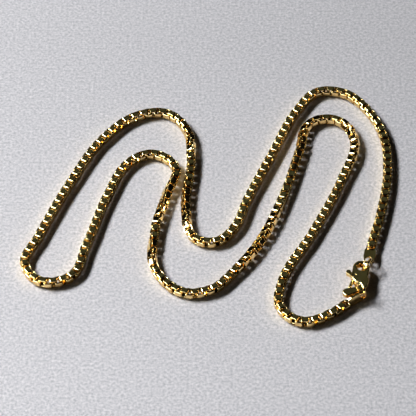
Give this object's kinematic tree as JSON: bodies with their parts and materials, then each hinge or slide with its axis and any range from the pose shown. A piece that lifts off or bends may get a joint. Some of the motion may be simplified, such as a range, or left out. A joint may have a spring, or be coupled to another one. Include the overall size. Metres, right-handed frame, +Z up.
{
  "type": "box chain necklace",
  "caption": "Box chain necklace with flat end tabs, jump rings and a lobster clasp with a sprung lever, lying closed in loose bends on a flat surface.",
  "frame": {"origin": "the surface the necklace lies on, under the middle of its outline", "axes": "+Z up from the surface; +X along the longest extent, towards the bend beside the clasp; +Y away from the clasp, towards the far bends"},
  "size_m": [0.0789, 0.0681, 0.0042],
  "materials": {
    "gold": "polished yellow gold colour"
  },
  "bodies": {
    "necklace": {"chain_a": "gold", "chain_b": "gold", "tab_a": "gold", "tab_b": "gold", "ring_a": "gold", "ring_b": "gold", "clasp_body": "gold", "pivot_pin": "gold"},
    "lever": {"clasp_lever": "gold"}
  },
  "joints": [
    {"name": "clasp_lever_hinge", "type": "hinge", "parent": "necklace", "child": "lever", "pos_m": [0.02995, -0.022, 0.00158], "axis": [0, 0, 1], "range_deg": [0, 10], "stiffness_Nm_per_rad": 0.0005, "springref_deg": -9.74}
  ]
}
